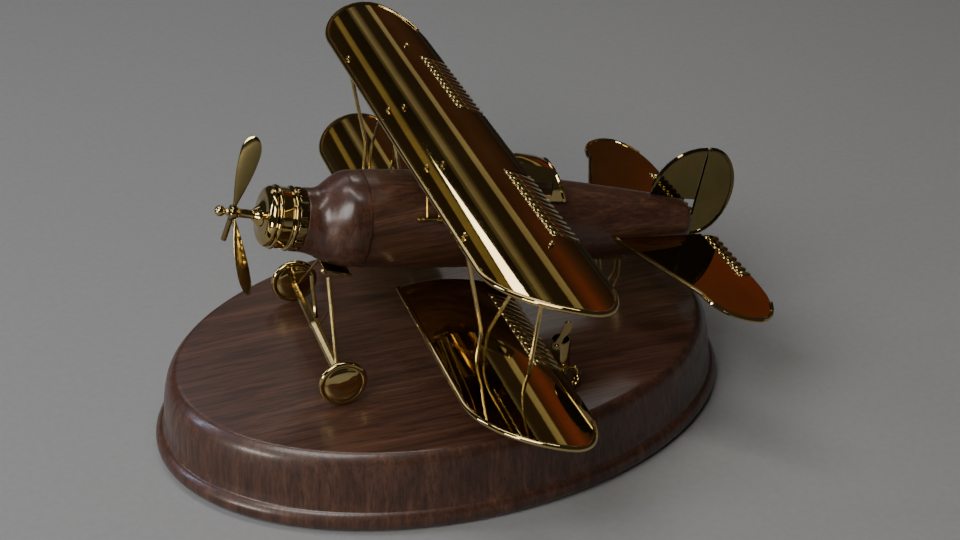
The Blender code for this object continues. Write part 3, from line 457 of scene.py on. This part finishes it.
def make_propeller():
    """Hub with its shaft, ball-ended nut and two unlike blades; the short stub is a CAD node."""
    axis = THRUST @ Matrix.Translation((0, 0, 33.2))
    hub = rounded([(0.0, -19.3), (1.0, -19.3), (1.0, -1.9), (3.0, -1.9), (3.8, -1.2), (3.8, 1.2), (3.0, 2.0),
                   (0.0, 2.0)], 0.2)
    piece("propeller_boss", Mesh().turned(hub, 48), axis, DARK_BRASS, "propeller",
          ["propeller_hub"], 45)
    ball = [(2.8 * math.sin(math.radians(a)), 6.7 - 2.8 * math.cos(math.radians(a))) for a in range(30, 181, 10)]
    nut = rounded([(0.0, 2.4), (1.7, 2.4), (2.1, 3.0), (1.4, 3.6), (1.4, 4.2)], 0.2) + ball
    piece("spinner_ball", Mesh().turned(nut, 40), axis, BRASS, "propeller", ["spinner_nut"], 60)
    # The upper blade is given the darker copy of brass as painted shade; it is the same metal as the lower blade.
    piece("blade_upper", blade(-3.0, 1.0), axis, SHADE_PAINTED_BRASS, "propeller", ["propeller_blade_a"], 70)
    # The lower blade is given the paler copy of brass as painted light; it is the same metal as the upper blade.
    piece("blade_lower", blade(-129.8, 8.8), axis, ROUGH_PAINTED_LIGHT_BRASS, "propeller", ["propeller_blade_b"], 70)


# ---------------------------------------------------------------- wings and tail

CHORD = 63.3
HALF_SPAN = 176.2
RIM = 1.48
SHEET_HALF = 0.5
SHEET_REAR = CHORD / 2 - 0.05
BAY = (35.2, 104.4)
HINGE = 16.15
TIP_CENTRE = 8.15
FRONT_TIP_START = 128.0
REAR_TIP_START = 135.0
TIP_POWER = 1.8


def camber(u):
    """Height of the wing's arched section at a distance behind mid chord."""
    return 2.85 - 0.0059 * (u + 3.85) ** 2


def wing_edges(y):
    """Front and rear of the wing sheet at a spanwise station."""
    span, reach = abs(y), HALF_SPAN - RIM
    front, rear = -CHORD / 2 + RIM, SHEET_REAR
    if span > FRONT_TIP_START:
        share = min((span - FRONT_TIP_START) / (reach - FRONT_TIP_START), 1.0)
        front = TIP_CENTRE - (TIP_CENTRE - front) * (1 - share ** TIP_POWER) ** (1 / TIP_POWER)
    if span > REAR_TIP_START:
        share = min((span - REAR_TIP_START) / (reach - REAR_TIP_START), 1.0)
        rear = TIP_CENTRE + (rear - TIP_CENTRE) * math.sqrt(1 - share ** 2)
    if BAY[0] <= span <= BAY[1]:
        rear = HINGE - 1.5
    return front, rear


def wing_sheet(mesh, low, high):
    """Cambered sheet in strips: whole chord outside the aileron bays, short chord within them."""
    cuts = sorted({low, high, *(s * b for s in (-1, 1) for b in BAY if low < s * b < high)})
    for start, end in zip(cuts, cuts[1:]):
        inside = BAY[0] < abs((start + end) / 2) < BAY[1]
        stations = [start + (end - start) * k / 6 for k in range(7)]
        tip = FRONT_TIP_START
        if end > tip:
            stations += [tip + (end - tip) * math.sin(math.pi / 2 * k / 24) for k in range(24)]
        if start < -tip:
            stations += [-tip + (start + tip) * math.sin(math.pi / 2 * k / 24) for k in range(24)]
        rings = []
        for y in sorted(set(stations)):
            front, rear = wing_edges(y if not inside else (start + end) / 2)
            if not inside and min(abs(abs(y) - b) for b in BAY) < 1e-6:
                rear = SHEET_REAR
            places = [front + (rear - front) * k / 28 for k in range(29)]
            rings.append([(u, y, camber(u) + SHEET_HALF) for u in places]
                         + [(u, y, camber(u) - SHEET_HALF) for u in reversed(places)])
        mesh.rings(rings)


def tip_path(inset):
    """Right-hand wing tip, from the leading edge to the trailing edge."""
    lead, trail, reach = -CHORD / 2 + inset, CHORD / 2 - inset, HALF_SPAN - inset
    points = []
    for k in range(41):
        forward, out = superellipse(math.radians(90 * k / 40), TIP_POWER)
        points.append((TIP_CENTRE - (TIP_CENTRE - lead) * forward,
                       FRONT_TIP_START + (reach - FRONT_TIP_START) * out))
    for k in range(1, 20):
        angle = math.radians(90 - 70 * k / 19)
        points.append((TIP_CENTRE + (trail - TIP_CENTRE) * math.cos(angle),
                       REAR_TIP_START + (reach - REAR_TIP_START) * math.sin(angle)))
    return points


def make_wing(name, node, frame, low, high, pins):
    """Arched sheet with a rolled rim round its leading edge and free tips, and flat pin heads on top."""
    mesh = Mesh()
    wing_sheet(mesh, low, high)
    tip = tip_path(RIM)
    path = []
    if high > 150:
        path += [(u, y) for u, y in reversed(tip)]
    else:
        path.append((-CHORD / 2 + RIM, high))
    if low < -150:
        path += [(u, -y) for u, y in tip]
    else:
        path.append((-CHORD / 2 + RIM, low))
    mesh.tube([(u, y, camber(u)) for u, y in path], RIM, 20)
    for u, y in pins:
        mesh.turned([(0.0, 0.45), (1.5, 0.5), (1.55, 0.75), (1.3, 0.9), (0.0, 0.9)], 20,
                    Matrix.Translation((u, y, camber(u))))
    piece(name, mesh, frame, BRASS, "model", [node], 50)


RIB_PITCH = 5.57
FLAP_DROOP = 18.0
STEPS_PER_RIB = 12


def make_strip(name, frame, low, high, beads, chord, hinge, droop, body, node):
    """Corrugated control surface: beaded pivot rod and a scalloped ribbed flap."""
    mesh = Mesh()
    frame = frame @ Matrix.Translation((hinge[0], 0.0, hinge[1])) @ Matrix.Rotation(math.radians(droop), 4, "Y")
    length = high - low - 0.6
    margin = (length - (beads - 1) * RIB_PITCH) / 2
    start = low + 0.3
    mesh.tube([(0.0, start, 0.0), (0.0, start + length, 0.0)], 0.65, 16)
    for k in range(beads):
        mesh.ball((0.0, start + margin + k * RIB_PITCH, 0.15), 1.35, (1.0, 1.25, 1.0))
    rings = []
    for k in range(beads * STEPS_PER_RIB + 1):
        y = start + (margin + (k / STEPS_PER_RIB - 0.5) * RIB_PITCH)
        wave = abs(math.sin(math.pi * k / STEPS_PER_RIB)) ** 0.45
        top, tail = 0.15 + 1.05 * wave, chord - 0.9 + 1.3 * wave
        rings.append([(0.8, y, -0.4), (tail, y, -0.45), (tail + 0.25 * wave, y, 0.1 + 0.2 * wave),
                      (tail - 0.1, y, 0.68 * top), (0.5 * tail, y, top * 0.9), (1.5, y, top), (0.8, y, 0.3)])
    mesh.rings(rings)
    piece(name, mesh, frame, BRASS, body, [node], 60)


def make_wings():
    pins = [(u, side * y) for side in (-1, 1)
            for u, y in ((-27.2, 100.3), (10.9, 114.2), (-24.2, 33.0), (-15.8, 33.0))]
    tip = HALF_SPAN - 1.9
    make_wing("wing_upper", "upper_wing", UPPER, -tip, tip, pins)
    make_wing("wing_lower_near", "lower_wing_left", LOWER, -tip, -23.4, [])
    make_wing("wing_lower_far", "lower_wing_right", LOWER, 23.4, tip, [])
    hinge = (HINGE, camber(HINGE))
    for level, frame in (("upper", UPPER), ("lower", LOWER)):
        for side, low, high in (("left", -BAY[1], -BAY[0]), ("right", BAY[0], BAY[1])):
            name = "aileron_%s_%s" % (level, side)
            make_strip("ribs_" + name, frame, low, high, 12, CHORD / 2 - HINGE + 0.2, hinge, FLAP_DROOP, name, name)
    for side, low, high in (("left", -59.6, -14.2), ("right", 14.2, 59.6)):
        make_strip("ribs_elevator_" + side, AIRFRAME, low, high, 8, 7.0, (153.3, -1.5), 0.0, "elevators",
                   "elevator_" + side)


AXLE = (-68.2, 51.0, 57.6)
TYRE_CENTRE = 11.3
TYRE_HALF = 1.7


def make_wheels():
    """Disc wheels: a convex outer face, a rolled tyre and a hub boss on the inner face."""
    arc = [(TYRE_CENTRE + TYRE_HALF * math.cos(math.radians(a)), TYRE_HALF * math.sin(math.radians(a)))
           for a in range(-130, 131, 10)]
    outer = smooth_row([(0.0, -3.5), (2.0, -3.44), (4.0, -3.2), (8.0, -2.3), (9.9, -1.35)], 3)
    inner = smooth_row([(9.9, 1.35), (8.0, 2.3), (4.0, 3.2)], 3) + [(2.6, 3.6), (1.4, 3.6), (0.0, 3.6)]
    profile = outer + arc + inner
    for side, word in ((-1, "left"), (1, "right")):
        frame = Matrix.Translation(Vector((AXLE[0], side * AXLE[1], AXLE[2])) * MM) @ Matrix.Rotation(
            math.radians(90 * side), 4, "X") @ Matrix.Scale(MM, 4)
        mesh = Mesh().turned(profile, 96)
        piece("disc_wheel_" + word, mesh, frame, BRASS, "wheel_" + word, ["wheel_" + word], 40)


make_base()
make_fuselage()
make_cowling()
make_propeller()
make_wings()
make_wheels()


# ---------------------------------------------------------------- CAD nodes that keep their shape

DARK = {"stand_tube", "stand_lever", "propeller_stub", "axle_rod"}
# Fin and rudder take the darker copy of brass: painted shade.
SHADE_PAINTED_NODES = {"fin", "rudder"}
# Struts, cabanes and gear parts take the paler, rougher copy of brass: a rougher finish plus painted light.
ROUGH_PAINTED_LIGHT_PARTS = ("strut_", "cabane_", "gear_leg", "gear_brace", "axle_fairing", "tail_fork")


SMOOTH_ANGLE = math.radians(38.0)


def dress(node, material):
    """Gives a CAD node its finish and smooth shading across gentle edges."""
    mesh = node.data
    mesh.materials.clear()
    mesh.materials.append(material)
    if "custom_normal" in mesh.attributes:
        mesh.attributes.remove(mesh.attributes["custom_normal"])
    mesh.shade_smooth()
    weld = node.modifiers.new("weld", "WELD")
    weld.merge_threshold = 0.000002
    split = node.modifiers.new("split", "EDGE_SPLIT")
    split.split_angle = SMOOTH_ANGLE
    split.use_edge_sharp = False


for name, node in NODES.items():
    if node.hide_render:
        continue
    if name == "base_felt":
        dress(node, FELT)
    elif name in SHADE_PAINTED_NODES:
        dress(node, SHADE_PAINTED_BRASS)
    elif name.startswith(ROUGH_PAINTED_LIGHT_PARTS):
        dress(node, ROUGH_PAINTED_LIGHT_BRASS)
    elif name in DARK:
        dress(node, DARK_BRASS)
    else:
        dress(node, BRASS)


# ---------------------------------------------------------------- studio

def make_floor():
    s = Shader("floor_paper", Roughness=0.9)
    grain = s.noise(s.place((240, 240, 240)), 1.0, 3.0, 0.6)
    s.set(Base_Color=s.ramp(grain, [(0.3, (0.24, 0.24, 0.24)), (0.7, (0.26, 0.26, 0.26))]))
    mesh = bpy.data.meshes.new("floor")
    half = 9.0
    mesh.from_pydata([(-half, -half, 0), (half, -half, 0), (half, half, 0), (-half, half, 0)], [], [(0, 1, 2, 3)])
    floor = bpy.data.objects.new("floor", mesh)
    mesh.materials.append(s.material)
    bpy.context.scene.collection.objects.link(floor)


def make_light(name, location, size, energy, colour):
    """Rectangular soft light aimed at the middle of the model."""
    light = bpy.data.lights.new(name, "AREA")
    light.shape = "RECTANGLE"
    light.size, light.size_y = size
    light.energy = energy
    light.color = colour
    obj = bpy.data.objects.new(name, light)
    obj.location = location
    obj.rotation_euler = (Vector(CENTRE) - Vector(location)).to_track_quat("-Z", "Y").to_euler()
    bpy.context.scene.collection.objects.link(obj)


def glow_material(name, stops, power, streaks, far_stops):
    """Emission that changes across a studio card: by angle about its corner if far_stops is given, or by height."""
    s = Shader(name)
    where = s.add("ShaderNodeTexCoord")
    if far_stops:
        split = s.add("ShaderNodeSeparateXYZ", {"Vector": where.outputs["Object"]})
        bearing = s.math("DIVIDE", s.math("ARCTAN2", split.outputs[1], split.outputs[0]), math.pi / 2)
        reach = s.math("POWER", s.math("ADD", s.math("MULTIPLY", split.outputs[0], split.outputs[0]),
                                       s.math("MULTIPLY", split.outputs[1], split.outputs[1])), 0.5)
        rays = s.add("ShaderNodeCombineXYZ", {"X": s.math("MULTIPLY", bearing, streaks), "Y": reach}).outputs[0]
        bearing = s.math("ADD", bearing, s.level(s.noise(rays, 1.0, 5.0, 0.7), 0.0, 1.0, -0.05, 0.05))
        tone = s.mix(s.level(reach, 1.0, 1.3, 0.0, 1.0), s.ramp(bearing, far_stops), s.ramp(bearing, stops))
    else:
        tone = s.ramp(s.add("ShaderNodeSeparateXYZ", {"Vector": where.outputs["Generated"]}).outputs[1], stops)
    glow = s.add("ShaderNodeEmission", {"Color": tone, "Strength": power})
    s.tree.links.new(glow.outputs[0], s.tree.nodes["Material Output"].inputs["Surface"])
    return s.material


def make_card(name, corner, outline, stops, power, streaks=0.0, far_stops=None):
    """Upright glowing card on the far side, seen only in reflections; outline is in its own plane."""
    mesh = bpy.data.meshes.new(name)
    mesh.from_pydata([(x, y, 0.0) for x, y in outline], [], [tuple(range(len(outline)))])
    mesh.materials.append(glow_material(name, stops, power, streaks, far_stops))
    card = bpy.data.objects.new(name, mesh)
    card.location = corner
    card.rotation_euler = (math.radians(90), 0.0, 0.0)
    bpy.context.scene.collection.objects.link(card)
    card.visible_camera = card.visible_diffuse = card.visible_shadow = False


def make_world():
    world = bpy.data.worlds.new("studio")
    bpy.context.scene.world = world
    world.use_nodes = True
    world.node_tree.nodes["Background"].inputs[0].default_value = (0.50, 0.46, 0.42, 1.0)
    world.node_tree.nodes["Background"].inputs[1].default_value = 0.07


def make_camera():
    data = bpy.data.cameras.new("camera")
    data.sensor_width = 36.0
    data.lens = 66.386
    data.clip_start, data.clip_end = 0.05, 50.0
    camera = bpy.data.objects.new("camera", data)
    camera.location = (-0.24222, -0.76545, 0.59071)
    camera.rotation_euler = (math.radians(90 - 32.414), 0.0, math.radians(-19.155))
    bpy.context.scene.collection.objects.link(camera)
    bpy.context.scene.camera = camera


make_floor()
make_world()
make_light("key", (-1.0, -0.9, 1.5), (1.0, 1.0), 27, (1.0, 0.98, 0.95))
make_light("top", (-0.1, 0.1, 1.9), (0.22, 2.0), 13, (1.0, 0.97, 0.92))
make_light("low_front", (-1.35, -0.62, 0.26), (0.42, 0.24), 7, (1.0, 0.95, 0.88))
make_light("edge_left", (-1.7, 0.5, 0.9), (0.10, 0.9), 9, (0.62, 0.72, 1.0))

# The cards are more than plain soft light: their bands are laid out so that the brass, seen from the main camera,
# mirrors light and dark streaks. Stops are (share of a quarter turn, colour); the near set has a red-brown band.
FAR_STRIPES = [
    (0.00, (0.020, 0.012, 0.008)), (0.12, (0.045, 0.022, 0.012)), (0.24, (0.060, 0.028, 0.016)),
    (0.39, (0.050, 0.022, 0.012)), (0.40, (0.34, 0.30, 0.19)), (0.455, (0.26, 0.22, 0.13)),
    (0.465, (0.030, 0.022, 0.012)), (0.58, (0.030, 0.022, 0.014)), (0.61, (0.11, 0.095, 0.06)),
    (0.66, (0.26, 0.23, 0.16)), (0.69, (0.09, 0.08, 0.045)), (0.71, (0.018, 0.015, 0.010)),
    (0.82, (0.022, 0.017, 0.011)), (0.84, (0.20, 0.17, 0.07)), (0.89, (0.26, 0.20, 0.09)),
    (0.90, (0.025, 0.018, 0.010)), (1.00, (0.03, 0.022, 0.014))]
RED_BROWN = (0.17, 0.042, 0.022)
NEAR_STRIPES = [(spot, RED_BROWN if 0.2 < spot < 0.3 else colour) for spot, colour in FAR_STRIPES]
make_card("stripes", (0.15, 1.5, 0.15), [(0, 0), (2.2, 0), (2.2, 2.2), (0, 2.2)], NEAR_STRIPES, 1.0, 26.0,
          FAR_STRIPES)
make_card("wedge", (0.15, 1.49, 0.15), [(0.278, 0.908), (0.74, 1.50), (0.40, 1.68)], [
    (0.0, (1.0, 0.97, 0.90)), (1.0, (1.0, 0.98, 0.93))], 9.0)
make_card("soft_left", (-0.45, 1.5, 1.35), [(-0.55, -0.35), (0.55, -0.35), (0.55, 0.45), (-0.55, 0.45)], [
    (0.0, (0.05, 0.05, 0.06)), (0.35, (0.55, 0.54, 0.62)), (0.75, (0.75, 0.74, 0.85)), (1.0, (0.1, 0.1, 0.12))], 2.2)
make_camera()
